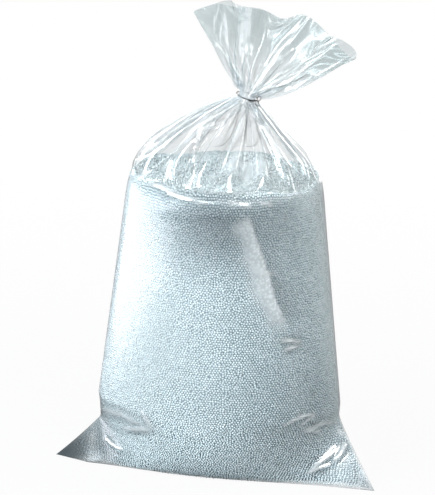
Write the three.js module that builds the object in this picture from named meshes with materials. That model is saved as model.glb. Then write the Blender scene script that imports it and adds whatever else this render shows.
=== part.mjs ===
import * as THREE from 'three';

// A clear bag of polystyrene beads, standing on its welded end and tied shut at the neck.
// Millimetres, +Z up, the front towards -Y.
// The origin is the middle of the flat patch that the bag stands on.

// Tube of film
const LAY_FLAT_WIDTH = 400;     // width of the empty tube laid flat
const FILM_WALL = 0.4;          // film thickness as drawn
const CLEARANCE = 0.4;          // gap between separate pieces
const PLEATS = 15;              // gathers round the neck
const SEGMENTS = PLEATS * 4;    // points round the tube: ridge, flank, valley and flank of each gather

// Standing body
const LOW_HALF_WIDTH = 150;     // half width above the rounded foot
const LOW_HEIGHT = 84;          // height of the rounded foot
const RIM_HALF_WIDTH = 115;     // half width at the level of the beads
const BEAD_LEVEL = 368;         // height at which the film leaves the beads
const RIM_SLACK = 0.07;         // share of the girth that hangs loose at the bead level
const RIM_SHIFT = 11;           // lean to the right at the bead level
const RIM_DROP = 8;             // the beads lie this much lower on the right
const BASE_HALF_DEPTH = 55;     // half depth of the flat patch underneath

// Corner ears at the two ends of the bottom weld
const EAR_POWER = 16;           // higher keeps an ear closer to its corner
const EAR_PINCH = 1.2;          // how thin the ears run out
const EAR_CAVITY = 0.8;         // share of an ear that is hollow
const EAR_BACK = 1.5;           // the inside of an ear keeps this many insets behind its front
const EAR_SHIFT = 8;            // both ears lie this far to the right of the body
const LEFT_EAR = { height: 45, forward: 46, lift: 6 };
const RIGHT_EAR = { height: 70, forward: 51, lift: 0 };

// Gathered shoulder
const NECK_HEIGHT = 460;        // height of the tie
const NECK_SHIFT = 37;          // the neck stands this far to the right
const NECK_TILT = 18;           // degrees, the neck leans to the right
const NECK_HALF_LENGTH = 5;     // straight length on each side of the tie
const NECK_RADIUS = 9.8;        // mean radius of the gathered neck
const NECK_CHANNEL = 1.4;       // radius of the last way through the gathers
const PLEAT_DEPTH = 12;         // deepest gather, from mean to ridge
const PLEAT_SHARE = 0.36;       // most of the radius that a gather may take on the shoulder
const NECK_PLEAT_SHARE = 0.22;  // and in the neck, where the tie holds it
const PLEAT_GROWTH = 1.6;       // higher makes the gathers start lower on the shoulder
const SHOULDER_SLIM = 0.47;     // how far out the shoulder is held on the right
const SHOULDER_FULL = 0.82;     // and on the left, where it bellies
const SHOULDER_LIFT_RIGHT = 0.44;
const SHOULDER_LIFT_LEFT = 0.66;

// Fan of loose film above the tie
const FAN_FLARE = 30;           // length over which the film turns away from the neck
const FAN_LIFT = 0.6;           // how steeply it leaves, except on the drooping right
const FAN_FLATTEN = 0.3;        // the fan spreads this much less to the front and back
const FAN_SETTLE = 0.6;         // place along the fan where it runs straight

// Fill of beads
const HEAP_RISE = 7;            // middle of the fill above its edge
const FILL_EAR = 0.72;          // share of an ear that the beads reach
const PEBBLE_DEPTH = 2.4;       // hollows between the pebbles that stand for groups of beads
const PEBBLE_ROWS = 15;         // rows of points over the straight part of the fill
const EAR_PLAIN = 5;            // higher keeps the pebbles further away from the ears

// Wire tie with an eye at each end
const WIRE_RADIUS = 0.55;
const TIE_START = -65;          // degrees, where the wire leaves the neck
const TIE_BEND = -25;           // degrees, the way the twisted ends then point
const TIE_RISE = 30;            // degrees, and rise from the plane of the ring
const TIE_STAND_OFF = 4;        // the twisted ends stand this far off the neck
const TWIST_LENGTH = 10;
const TWIST_TURNS = 2;
const EYE_LENGTH = 7.4;
const EYE_WIDTH = 4.6;
const EYE_RISE = 60;            // degrees, the upper eye points up
const EYE_FALL = -37;           // degrees, the lower eye points down
const EYE_CLOSURE = 0.86;       // share of an eye that the wire goes round
const WIRE_SIDES = 6;

// Heights of the rows of points, as shares
const FOOT_ROWS = [0, 0.07, 0.19, 0.36, 0.55, 0.76, 1];
const BODY_ROWS = [0.19, 0.39, 0.6, 0.8, 1];
const SHOULDER_ROWS = [0.12, 0.26, 0.4, 0.54, 0.67, 0.78, 0.87, 0.94];
const FAN_ROWS = [0.07, 0.16, 0.28, 0.44, 0.62, 0.81, 1];
const HEAP_ROWS = [0.88, 0.7, 0.48, 0.24];
const TWIST_STEPS = 6 * TWIST_TURNS;
const EYE_STEPS = 9;
const RING_STEPS = 20;

// Mouth of the film from the middle of the neck: the right tip, the back edge to the left corner,
// and the front edge back to the right with its deep fold.
const MOUTH = [
  [130, -4, 52], [113, 4, 60], [99, 14, 70], [67, 18, 97], [40, 18, 90], [12, 14, 103],
  [-16, 12, 103], [-36, 10, 107], [-53, 7, 103], [-66, 0, 98], [-53, -7, 104], [-38, -11, 110],
  [-20, -8, 116], [-14, 2, 108], [5, -9, 108], [15, -7, 106], [22, 7, 101], [42, 8, 93],
  [69, 8, 100], [97, 0, 78], [111, -18, 80], [131, -9, 66],
];

const GIRTH = 2 * LAY_FLAT_WIDTH;
const EAR_TIP = LAY_FLAT_WIDTH / 2;

function mix(from, to, share) {
  return from + (to - from) * share;
}

function clamp01(value) {
  return Math.min(1, Math.max(0, value));
}

function smooth(value) {
  const t = clamp01(value);
  return t * t * (3 - 2 * t);
}

function turn(index) {
  return (2 * Math.PI * index) / SEGMENTS;
}

function bodyShare(z) {
  return clamp01((z - LOW_HEIGHT) / (BEAD_LEVEL - LOW_HEIGHT));
}

function halfWidth(z) {
  return mix(LOW_HALF_WIDTH, RIM_HALF_WIDTH, bodyShare(z));
}

function lean(z) {
  return RIM_SHIFT * clamp01(z / BEAD_LEVEL);
}

// Fall of a row towards the right, where c is the cosine of the turn from the right.
function drop(z, c) {
  return RIM_DROP * bodyShare(z) * (0.5 + 0.5 * c);
}

// The half depth follows from the girth of the tube, and narrows to the flat patch in the foot.
function halfDepth(z) {
  const radius = (GIRTH * (1 - RIM_SLACK * bodyShare(z))) / (2 * Math.PI);
  const width = halfWidth(z);
  const full = Math.sqrt(2 * radius * radius - width * width);
  const low = clamp01(1 - z / LOW_HEIGHT);
  const round = Math.sqrt(1 - low * low);
  return mix(BASE_HALF_DEPTH, full, round);
}

// Direction that faces out of the bag in its depth profile, as [outward, upward].
function profileNormal(zRows, index) {
  const below = zRows[Math.max(0, index - 1)];
  const above = zRows[Math.min(zRows.length - 1, index + 1)];
  const rise = above - below;
  const spread = halfDepth(above) - halfDepth(below);
  const length = Math.hypot(rise, spread);
  return [rise / length, -spread / length];
}

// Hollows between pebbles lie at every second point, like the dark fields of a chessboard.
function hollow(index, j) {
  return index > 0 ? PEBBLE_DEPTH * ((index + j) % 2) : 0;
}

// One closed row of points round the standing bag. The margin moves it inside the film.
function bodyRow(zRows, index, margin, earShare, pebbled) {
  const z = zRows[index];
  const [outward, upward] = profileNormal(zRows, index);
  const width = halfWidth(z);
  const pinch = EAR_PINCH * clamp01(1 - z / LOW_HEIGHT);
  const row = [];
  for (let j = 0; j < SEGMENTS; j += 1) {
    const c = Math.cos(turn(j));
    const s = Math.sin(turn(j));
    const ear = c > 0 ? RIGHT_EAR : LEFT_EAR;
    const low = clamp01(1 - z / ear.height);
    const point = low * Math.abs(c) ** EAR_POWER;
    const inset = margin + (pebbled ? (1 - smooth(EAR_PLAIN * point)) * hollow(index, j) : 0);
    const depth = halfDepth(z) - inset * outward;
    const side = Math.sign(c);
    const reach = EAR_TIP - width + side * EAR_SHIFT;
    const across = (width - inset * outward) * c + side * earShare * reach * point;
    const share = Math.abs(s) ** (1 + pinch);
    const forward = (ear.forward - EAR_BACK * margin) * low * (1 - share);
    const y = Math.sign(s) * depth * share - forward;
    const inEar = clamp01((Math.abs(across) - width) / reach);
    const height = z - inset * upward + ear.lift * low * inEar - drop(z, c);
    row.push(new THREE.Vector3(lean(z) + across, y, height));
  }
  return row;
}

// Gathers round the tube: -1 in the deepest valleys and up to 1 on the highest ridges.
function gather(angle) {
  const strength = 0.82 + 0.18 * Math.cos(2 * angle + 1);
  return strength * Math.cos(PLEATS * angle);
}

// The gathers are of uneven width: they move round the tube by less than half a gather.
function gatherAngle(angle) {
  const wander = 0.6 * Math.sin(2 * angle) - 0.5 * Math.sin(3 * angle);
  return angle - wander / PLEATS;
}

// Place on the leaning neck, by angle, radius and distance above the tie.
function neckPoint(angle, radius, above) {
  const tilt = THREE.MathUtils.degToRad(NECK_TILT);
  return new THREE.Vector3(radius * Math.cos(angle), radius * Math.sin(angle), above)
    .applyAxisAngle(new THREE.Vector3(0, 1, 0), tilt)
    .add(new THREE.Vector3(NECK_SHIFT, 0, NECK_HEIGHT));
}

function neckRow(above) {
  const row = [];
  for (let j = 0; j < SEGMENTS; j += 1) {
    const radius = NECK_RADIUS * (1 + NECK_PLEAT_SHARE * gather(turn(j)));
    row.push(neckPoint(gatherAngle(turn(j)), radius, above));
  }
  return row;
}

// The shoulder runs from the bead level to the neck in gathers that deepen on the way.
function shoulderRow(share) {
  const width = halfWidth(BEAD_LEVEL);
  const depth = halfDepth(BEAD_LEVEL);
  const row = [];
  for (let j = 0; j < SEGMENTS; j += 1) {
    const angle = mix(turn(j), gatherAngle(turn(j)), smooth(PLEAT_GROWTH * share));
    const c = Math.cos(angle);
    const s = Math.sin(angle);
    const left = (1 - c) / 2;
    const hold = mix(SHOULDER_SLIM, SHOULDER_FULL, left);
    const lift = mix(SHOULDER_LIFT_RIGHT, SHOULDER_LIFT_LEFT, left);
    const rim = new THREE.Vector3(lean(BEAD_LEVEL) + width * c, depth * s, BEAD_LEVEL);
    rim.z -= drop(BEAD_LEVEL, c);
    const neck = neckPoint(angle, NECK_RADIUS, -NECK_HALF_LENGTH);
    const belly = neck.clone().lerp(rim, hold);
    belly.z = mix(rim.z, neck.z, lift);
    const point = new THREE.QuadraticBezierCurve3(rim, belly, neck).getPoint(share);
    const axis = mix(lean(BEAD_LEVEL), NECK_SHIFT, share);
    const radius = Math.hypot(point.x - axis, point.y);
    const deepest = PLEAT_DEPTH * smooth(PLEAT_GROWTH * share);
    const most = radius * mix(PLEAT_SHARE, NECK_PLEAT_SHARE, share * share);
    const pleat = Math.min(deepest, most) * gather(turn(j));
    point.x += pleat * c;
    point.y += pleat * s;
    row.push(point);
  }
  return row;
}

// The fan runs from the top of the neck to the open mouth of the film.
function fanRows() {
  const middle = new THREE.Vector3(NECK_SHIFT, 0, NECK_HEIGHT);
  const corners = MOUTH.map((p) => new THREE.Vector3(...p).add(middle));
  const mouth = new THREE.CatmullRomCurve3(corners, true, 'centripetal');
  const foot = neckRow(NECK_HALF_LENGTH);
  return FAN_ROWS.map((share) => foot.map((start, j) => {
    const end = mouth.getPoint(j / SEGMENTS);
    const c = Math.cos(turn(j));
    const s = Math.sin(turn(j));
    const spread = Math.hypot(c, FAN_FLATTEN * s);
    const across = Math.atan2(FAN_FLATTEN * s, c);
    const up = FAN_LIFT * FAN_FLARE * (1 - smooth(c));
    const middleTop = neckPoint(across, 0, NECK_HALF_LENGTH);
    const away = neckPoint(across, FAN_FLARE * spread, NECK_HALF_LENGTH + up).sub(middleTop);
    const leave = start.clone().add(away);
    const settle = start.clone().lerp(end, FAN_SETTLE);
    return new THREE.CubicBezierCurve3(start, leave, settle, end).getPoint(share);
  }));
}

// Normals of a grid of rows that are closed round the tube, facing outwards.
function gridNormals(rows) {
  return rows.map((row, i) => row.map((point, j) => {
    const below = rows[Math.max(0, i - 1)][j];
    const above = rows[Math.min(rows.length - 1, i + 1)][j];
    const before = row[(j + SEGMENTS - 1) % SEGMENTS];
    const after = row[(j + 1) % SEGMENTS];
    const round = after.clone().sub(before);
    const along = above.clone().sub(below);
    return round.cross(along).normalize();
  }));
}

function footAndBodyHeights(bodyRows) {
  const foot = FOOT_ROWS.map((share) => LOW_HEIGHT * share);
  const body = bodyRows.map((share) => mix(LOW_HEIGHT, BEAD_LEVEL, share));
  return [...foot, ...body];
}

// Solid skin from rows of points: sides, plus caps or joins added by the caller.
class Skin {
  constructor() {
    this.positions = [];
    this.faces = [];
  }

  addRow(row) {
    const first = this.positions.length / 3;
    row.forEach((p) => this.positions.push(p.x, p.y, p.z));
    return first;
  }

  face(a, b, c, flip) {
    this.faces.push(...(flip ? [a, c, b] : [a, b, c]));
  }

  // Band of faces between two rows, facing outwards unless flipped.
  band(lower, upper, flip) {
    for (let j = 0; j < SEGMENTS; j += 1) {
      const k = (j + 1) % SEGMENTS;
      this.face(lower + j, lower + k, upper + k, flip);
      this.face(lower + j, upper + k, upper + j, flip);
    }
  }

  // Floor across a row, laid in strips from the front edge to the back edge, facing down.
  floor(row, flip) {
    const half = SEGMENTS / 2;
    for (let j = 0; j < half; j += 1) {
      const back = row + j;
      const nextBack = row + j + 1;
      const front = row + ((SEGMENTS - j) % SEGMENTS);
      const nextFront = row + SEGMENTS - j - 1;
      if (j > 0) {
        this.face(back, front, nextBack, flip);
      }
      if (j < half - 1) {
        this.face(front, nextFront, nextBack, flip);
      }
    }
  }

  // Lid that closes a row to one point, facing up.
  lid(row, peak) {
    for (let j = 0; j < SEGMENTS; j += 1) {
      this.face(row + j, row + ((j + 1) % SEGMENTS), peak, false);
    }
  }

  mesh(name, material) {
    const geometry = new THREE.BufferGeometry();
    geometry.setAttribute('position', new THREE.Float32BufferAttribute(this.positions, 3));
    geometry.setIndex(this.faces);
    geometry.computeVertexNormals();
    const mesh = new THREE.Mesh(geometry, material);
    mesh.name = name;
    return mesh;
  }
}

// Film bag: one tube of film with its weld underneath, its gathers at the neck and its open mouth.
function filmBag() {
  const heights = footAndBodyHeights(BODY_ROWS);
  const outer = heights.map((z, i) => bodyRow(heights, i, 0, 1, false));
  const inner = heights.map((z, i) => bodyRow(heights, i, FILM_WALL, EAR_CAVITY, false));
  const rimIndex = outer.length - 1;
  SHOULDER_ROWS.forEach((share) => outer.push(shoulderRow(share)));
  const neckStart = outer.length;
  const levels = [-NECK_HALF_LENGTH, 0, NECK_HALF_LENGTH];
  levels.forEach((above) => outer.push(neckRow(above)));
  const neckEnd = outer.length - 1;
  fanRows().forEach((row) => outer.push(row));

  // Inside, the film is its own thickness everywhere but in the neck, where the gathers close up.
  const normals = gridNormals(outer);
  for (let i = rimIndex + 1; i < outer.length; i += 1) {
    const tight = i >= neckStart && i <= neckEnd;
    inner.push(outer[i].map((point, j) => {
      if (tight) {
        return neckPoint(turn(j), NECK_CHANNEL, levels[i - neckStart]);
      }
      return point.clone().addScaledVector(normals[i][j], -FILM_WALL);
    }));
  }

  const skin = new Skin();
  const outside = outer.map((row) => skin.addRow(row));
  const inside = inner.map((row) => skin.addRow(row));
  for (let i = 0; i + 1 < outside.length; i += 1) {
    skin.band(outside[i], outside[i + 1], false);
    skin.band(inside[i], inside[i + 1], true);
  }
  skin.floor(outside[0], false);
  skin.floor(inside[0], true);
  const last = outside.length - 1;
  skin.band(outside[last], inside[last], false);
  const material = new THREE.MeshStandardMaterial({ color: 0xdde6ea, roughness: 0.2 });
  return skin.mesh('film_bag', material);
}

// Bead fill: the body of loose beads, shaped by the film, with a low heap on top.
// Its pebbled face stands for the beads, which are far smaller.
function beadFill() {
  const sideRows = Array.from({ length: PEBBLE_ROWS }, (_, k) => (k + 1) / PEBBLE_ROWS);
  const heights = footAndBodyHeights(sideRows);
  const inset = FILM_WALL + CLEARANCE;
  const rows = heights.map((z, i) => bodyRow(heights, i, inset, FILL_EAR, true));
  const top = heights.length - 1;
  const rim = bodyRow(heights, top, inset, FILL_EAR, false);
  const level = BEAD_LEVEL - drop(BEAD_LEVEL, 0);
  const centre = new THREE.Vector3(lean(BEAD_LEVEL), 0, level);
  HEAP_ROWS.forEach((share, k) => rows.push(rim.map((point, j) => {
    const spot = centre.clone().lerp(point, share);
    spot.z += HEAP_RISE * (1 - share * share) - hollow(top + 1 + k, j) * share;
    return spot;
  })));

  const skin = new Skin();
  const rings = rows.map((row) => skin.addRow(row));
  for (let i = 0; i + 1 < rings.length; i += 1) {
    skin.band(rings[i], rings[i + 1], false);
  }
  skin.floor(rings[0], false);
  const peak = skin.addRow([centre.clone().setZ(centre.z + HEAP_RISE)]);
  skin.lid(rings[rings.length - 1], peak);
  const material = new THREE.MeshStandardMaterial({ color: 0xf2f5f6, roughness: 0.9 });
  return skin.mesh('bead_fill', material);
}

// Wire tie: one wire that goes round the neck, twists on itself and ends in two small eyes.
function wireTie() {
  const reach = NECK_RADIUS * (1 + NECK_PLEAT_SHARE) + CLEARANCE + WIRE_RADIUS;
  const twist = WIRE_RADIUS + CLEARANCE / 2;
  const up = new THREE.Vector3(0, 0, 1);
  const start = THREE.MathUtils.degToRad(TIE_START);
  const bend = THREE.MathUtils.degToRad(TIE_BEND);
  const away = new THREE.Vector3(Math.cos(start), Math.sin(start), 0);
  const rise = THREE.MathUtils.degToRad(TIE_RISE);
  const along = new THREE.Vector3(Math.cos(bend), Math.sin(bend), 0);
  const climb = along.clone().multiplyScalar(Math.cos(rise)).addScaledVector(up, Math.sin(rise));
  const root = away.clone().multiplyScalar(reach + 2 * twist);
  const corner = root.clone().addScaledVector(away, TIE_STAND_OFF);
  const tip = corner.clone().addScaledVector(climb, TWIST_LENGTH);
  const spine = new THREE.QuadraticBezierCurve3(root, corner, tip);

  function strand(share, phase) {
    const angle = phase + 2 * Math.PI * TWIST_TURNS * share;
    const tangent = spine.getTangent(share);
    const side = tangent.clone().cross(up).normalize();
    const over = side.clone().cross(tangent);
    return spine.getPoint(share)
      .addScaledVector(side, twist * Math.cos(angle))
      .addScaledVector(over, twist * Math.sin(angle));
  }

  // An eye starts ahead of the twist, goes round and stops just short of it.
  function eye(foot, degrees) {
    const slope = THREE.MathUtils.degToRad(degrees);
    const turnSide = Math.sign(degrees);
    const length = along.clone().multiplyScalar(Math.cos(slope))
      .addScaledVector(up, Math.sin(slope));
    const width = along.clone().multiplyScalar(turnSide * Math.sin(slope))
      .addScaledVector(up, -turnSide * Math.cos(slope));
    const points = [];
    for (let k = 1; k <= EYE_STEPS; k += 1) {
      const angle = (2 * Math.PI * EYE_CLOSURE * k) / EYE_STEPS;
      points.push(foot.clone()
        .addScaledVector(length, (EYE_LENGTH / 2) * (1 - Math.cos(angle)))
        .addScaledVector(width, (EYE_WIDTH / 2) * Math.sin(angle)));
    }
    return points;
  }

  const first = [];
  const second = [];
  for (let k = 0; k <= TWIST_STEPS; k += 1) {
    first.push(strand(k / TWIST_STEPS, Math.PI));
    second.push(strand(k / TWIST_STEPS, 0));
  }
  first.push(...eye(first[TWIST_STEPS], EYE_RISE));
  second.push(...eye(second[TWIST_STEPS], EYE_FALL));

  const opening = (2.5 * twist) / reach;
  const ring = [];
  for (let k = 0; k <= RING_STEPS; k += 1) {
    const angle = start + opening + ((2 * Math.PI - 2 * opening) * k) / RING_STEPS;
    ring.push(new THREE.Vector3(reach * Math.cos(angle), reach * Math.sin(angle), 0));
  }

  const tilt = THREE.MathUtils.degToRad(NECK_TILT);
  const path = [...first.reverse(), ...ring, ...second];
  path.forEach((point) => {
    point.applyAxisAngle(new THREE.Vector3(0, 1, 0), tilt);
    point.add(new THREE.Vector3(NECK_SHIFT, 0, NECK_HEIGHT));
  });

  const section = new THREE.Shape();
  for (let k = 0; k < WIRE_SIDES; k += 1) {
    const angle = (2 * Math.PI * k) / WIRE_SIDES;
    const x = WIRE_RADIUS * Math.cos(angle);
    const y = WIRE_RADIUS * Math.sin(angle);
    if (k === 0) {
      section.moveTo(x, y);
    } else {
      section.lineTo(x, y);
    }
  }
  section.closePath();
  const geometry = new THREE.ExtrudeGeometry(section, {
    steps: 2 * path.length,
    bevelEnabled: false,
    extrudePath: new THREE.CatmullRomCurve3(path, false, 'centripetal'),
  });
  const material = new THREE.MeshStandardMaterial({ color: 0x1b1716, roughness: 0.4, metalness: 0.8 });
  const mesh = new THREE.Mesh(geometry, material);
  mesh.name = 'wire_tie';
  return mesh;
}

const bag = new THREE.Group();
bag.name = 'bag_of_beads';
bag.add(filmBag());
bag.add(beadFill());
bag.add(wireTie());

export default bag;
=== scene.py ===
import math

import bpy
import numpy as np
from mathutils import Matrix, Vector


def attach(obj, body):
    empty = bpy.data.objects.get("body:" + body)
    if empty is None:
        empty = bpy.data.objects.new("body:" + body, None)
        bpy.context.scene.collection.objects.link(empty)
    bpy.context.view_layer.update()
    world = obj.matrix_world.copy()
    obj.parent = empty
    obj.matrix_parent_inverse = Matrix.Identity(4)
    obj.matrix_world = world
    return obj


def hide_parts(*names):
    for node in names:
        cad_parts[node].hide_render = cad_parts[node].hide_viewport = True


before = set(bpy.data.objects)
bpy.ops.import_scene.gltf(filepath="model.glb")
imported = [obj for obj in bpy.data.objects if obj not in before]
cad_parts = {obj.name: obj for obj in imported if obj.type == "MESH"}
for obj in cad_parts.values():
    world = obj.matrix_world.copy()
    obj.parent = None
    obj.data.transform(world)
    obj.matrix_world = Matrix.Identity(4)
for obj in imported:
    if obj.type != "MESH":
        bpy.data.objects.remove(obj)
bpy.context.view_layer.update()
rng = np.random.default_rng(3)

# Lengths are in millimetres until a mesh is made
MM = 0.001
FULL_TURN = 2 * math.pi
TINY = 1e-9

# Film tube
LAY_FLAT_WIDTH = 400
GIRTH = 2 * LAY_FLAT_WIDTH
COLUMNS = 384

# Body, filled with beads up to its rim
LOW_HALF_WIDTH = 150
LOW_HEIGHT = 84
RIM_HALF_WIDTH = 115
BEAD_LEVEL = 368
RIM_SLACK = 0.07
RIM_SHIFT = 11
RIM_DROP = 8
RIM_ROUND = 28
RIM_TUCK = 13
RIM_TUCK_LOST_AT_SIDES = 0.7
RIM_RAISE = 6
RIM_WAVE = 1.6
DIP_DEPTH = 5
DIP_START = 14
DIP_FADE_IN = 20
DIP_FADE_OUT = 90
DIP_TURN = math.radians(283)
DIP_HALF_TURN = math.radians(60)
BASE_HALF_DEPTH = 55
BODY_STEP = 3
LOOSE_BELOW_RIM = 30
# Waves of the rim: how many round the tube, where they start, and share of the height
RIM_WAVES = [(2, 0.6, 1), (5, 0, 1), (9, 2, 0.6)]

# Ears at the ends of the bottom weld
EAR_POWER = 16
EAR_PINCH = 1.2
EAR_BACK = 2.5
EAR_SHIFT = 8
LEFT_EAR = dict(height=45, forward=46, lift=6)
RIGHT_EAR = dict(height=70, forward=51, lift=0)
FOOT_ROWS = 40
FOOT_CROWDING = 1.6
WELD_ROWS = 3

# Neck and the shoulder below it
NECK_HEIGHT = 460
NECK_SHIFT = 37
NECK_TILT = math.radians(18)
NECK_HALF_LENGTH = 5
NECK_RADIUS = 8.4
NECK_FOLD = 2.0
SHOULDER_SLIM = 0.47
SHOULDER_FULL = 0.82
SHOULDER_LIFT_RIGHT = 0.44
SHOULDER_LIFT_LEFT = 0.66
SHOULDER_ROWS = 52
NECK_ROWS = 4
CURVE_POINTS = 60
PLEATS = 15
PLEAT_STRENGTHS = (0.4, 1.25)
SHOULDER_PLEAT = 11
FAN_PLEAT = 2.5
# Uneven turn of the pleats at the neck: how many waves round the tube, and how strong
PLEAT_LEAN = [(2, 0.6), (3, -0.5)]

# Loose end above the tie
FAN_FLARE = 30
FAN_LIFT = 0.6
FAN_FLATTEN = 0.15
FAN_SETTLE = 0.6
FAN_ROWS = 52
MOUTH = np.array([
    (130, -4, 52), (113, 4, 60), (99, 14, 70), (67, 18, 97), (40, 18, 90), (12, 14, 103),
    (-16, 12, 103), (-36, 10, 107), (-53, 7, 103), (-66, 0, 98), (-53, -7, 104), (-38, -11, 110),
    (-20, -8, 116), (-14, 2, 108), (5, -9, 108), (15, -7, 106), (22, 7, 101), (42, 8, 93),
    (69, 8, 100), (97, 0, 78), (111, -18, 80), (131, -9, 66),
], float)

# Beads
BEAD_PITCH = 3.3
BEAD_RADIUS = 1.5
BEAD_GAP = 0.4
BEAD_RING_RISE = math.radians(26)
ROW_SHARE = 0.87
BEAD_STRAY = 0.9
BEAD_SHAKE = 0.12
BEAD_SIZES = (0.86, 1.08)
CELL_SHARE = 1.05
CELL_SLOTS = 4
PUSH_SHARE = 0.6
SAME_PLACE = 1e-6
SPREAD_STEPS = 16
SIDE_LEVELS = 150
ROUNDED_LEVELS = 24
FINE_TURNS = 1440
EVEN_TURNS = 720
FILL_EAR = 0.93

# Heap of beads on top, and the core of beads further in
HEAP_RISE = 7
HEAP_STRAY = 1.4
HILL_HEIGHT = 1.2
HEAP_HILLS = [(0.06, 0.02, 0.5), (-0.03, 0.07, 1.9), (0.09, -0.05, 4.0)]
CORE_COLUMNS = 180
CORE_ROWS = 24
CORE_RINGS = (0.96, 0.85, 0.6, 0.3, 0.02)
CORE_HOLE = 0.02

# Camera
SENSOR = 36
CAMERA_TURN = math.radians(15)
CAMERA_RISE = math.radians(16)
CAMERA_DISTANCE = 3.2
CAMERA_LENS = 193.94
AIM_HEIGHT = 0.270
AIM_RIGHT = 0.00087
AIM_UP = 0.00177

# Relaxing of the upper film
LOOSE_ROWS = 12
SHOULDER_SPARE = 0.5
NECK_SPARE = 1.2
MOUTH_SPARE = 0.02
FAN_SPARE_FADE = 1.6
ROUGH_START = 0.15
MOUTH_PULL = 0.05
MOUTH_HELD_ROWS = 6
MOUTH_SOFTER = 3
KEEP_MOVING = 0.92
RELAX_STEPS = 300
# Rows down, columns across, stiffness
LINKS = [
    (2, 0, 0.2), (0, 8, 0.02), (0, 4, 0.05), (0, 2, 0.12),
    (1, 1, 0.35), (1, -1, 0.35), (1, 0, 1.0), (0, 1, 1.0),
]

# Creases in the film over the beads: points as turn in degrees and height, then lift and half width
CREASES = [
    ([(301, 283), (306, 277), (311, 276)], 1.6, 4),
    ([(312, 191), (319, 189), (326, 184)], 2.4, 5),
    ([(313, 178), (324, 180)], 1.8, 4),
    ([(241, 87), (244, 78), (247, 68)], 2.6, 4),
    ([(248, 67), (237, 61), (225, 54)], 3.4, 6),
    ([(196, 58), (209, 69), (227, 75), (243, 68)], 2.6, 8),
    ([(209, 31), (216, 27), (225, 23)], 2.4, 5),
    ([(311, 79), (317, 87), (324, 90), (332, 89)], 2.6, 4),
    ([(332, 89), (325, 83), (320, 76)], 2.2, 4),
    ([(322, 69), (328, 71), (337, 74), (350, 68)], 3.4, 6),
    ([(322, 69), (329, 66), (335, 63)], 2.2, 4),
    ([(326, 15), (331, 20), (338, 24)], 2.4, 4),
    ([(326, 15), (331, 25), (339, 35), (346, 45)], 2.2, 5),
    ([(350, 46), (345, 36), (340, 27)], 2.8, 6),
    ([(230, 366), (243, 365), (259, 363), (278, 359)], 2.2, 5),
]
# Bands of film pulled straight, off the beads, whitened as a painted reflection: right edge, lift and
# width to the left
BANDS = [
    ([(296, 352), (300, 338), (306, 294), (311, 243), (320, 196)], 1.2, 36),
    ([(292, 361), (302, 358)], 0.8, 5),
    ([(306, 361), (315, 357)], 0.8, 5),
]
# Film that lies smooth, whitened there as a painted reflection: middle as turn and height, then half
# sizes round and up, and how smooth
SMOOTH_FILM = [
    ((224, 215), (120, 250), 0.55),
    ((196, 45), (50, 40), 0.5),
]
# Film greyed by painted shade, at the ears, below the rim and low on the right: middle as turn and
# height, then reach and strength
PAINTED_SHADE_FILM = [
    ((180, 0), 125, 0.8),
    ((180, 0), 38, 0.2),
    ((0, 0), 55, 0.3),
    ((262, 326), 90, 0.2),
    ((300, 328), 90, 0.24),
    ((318, 60), 150, 0.14),
    ((278, 346), 65, 0.14),
]
# Sharp folds in the shoulder: points as turn in degrees and share of the way up, then lift and
# half width
SHOULDER_FOLDS = [
    ([(286, 0.98), (262, 0.81), (248, 0.65), (246, 0.58), (243, 0.54), (247, 0.46), (249, 0.35),
      (258, 0.23), (262, 0.13)], 4, 5),
    ([(287, 0.85), (285, 0.63), (279, 0.44), (277, 0.29)], 3, 7),
    ([(314, 0.87), (331, 0.71), (332, 0.5), (334, 0.33)], 3, 7),
]
# Painted highlight in the shoulder: middle as turn and share of the way up, half sizes of both,
# strength
SHOULDER_PAINTED_HIGHLIGHT = [((300, 0.28), (34, 0.18), 0.3)]

# Form of creases, folds and bands
LINE_POINTS = 41
RIDGE_POWER = 1.2
FOLD_SHARPNESS = 1.4
SHADE_SHARPNESS = 1.5
SHADE_PLACE = 1.1
OFF_BEADS = 1.2
LINE_END = 0.03
BAND_ENDS = 5
BAND_EDGE = 4
BAND_SMOOTH = 0.65
BAND_WOBBLE = 0.1
BAND_WAVES = [(13, 0), (29, 1)]
SMOOTH_FADE = 1.4
PAINTED_HIGHLIGHT_FADE = 1.8

# Finishes
BEAD_DARK = (0.70, 0.79, 0.81)
BEAD_PALE = (0.89, 0.96, 0.975)
# The heap's beads are coloured darker than the side beads: painted shade on the same beads
HEAP_PAINTED_SHADE_DARK = (0.46, 0.53, 0.54)
HEAP_PAINTED_SHADE_PALE = (0.84, 0.89, 0.895)
BEAD_ROUGHNESS = 0.35
# The core is coloured darker than the beads: painted shade in the gaps between them
CORE_DARK = (0.36, 0.45, 0.49)
CORE_PALE = (0.44, 0.53, 0.57)
FILM_TINT = (0.965, 0.975, 0.98)
# Darker see-through tint in the shoulder and fan than on the body: painted shade for the gathered
# film
SHOULDER_PAINTED_SHADE = 0.1
LOOSE_PAINTED_SHADE_TINT = (0.74, 0.79, 0.795)
# Colour of the film's faint haze and of the painted highlights and reflections on creases, folds, the
# band and smooth film
HAZE_AND_HIGHLIGHT_COLOUR = (0.88, 0.92, 0.93)
# Colour of the painted shade mixed over the film: at the ears, under the rim, low on the right and
# beside creases, folds and the band
PAINTED_SHADE_COLOUR = (0.06, 0.07, 0.075)
FILM_HAZE = 0.03
# Painted highlight along creases and folds
CREASE_PAINTED_HIGHLIGHT = 0.95
FOLD_PAINTED_HIGHLIGHT = 0.7
# Strength of the painted shade beside the shoulder folds and the body creases
FOLD_SHADE = 0.22
CREASE_SHADE = 0.28
FOLD_SHINE = 0.3
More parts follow.
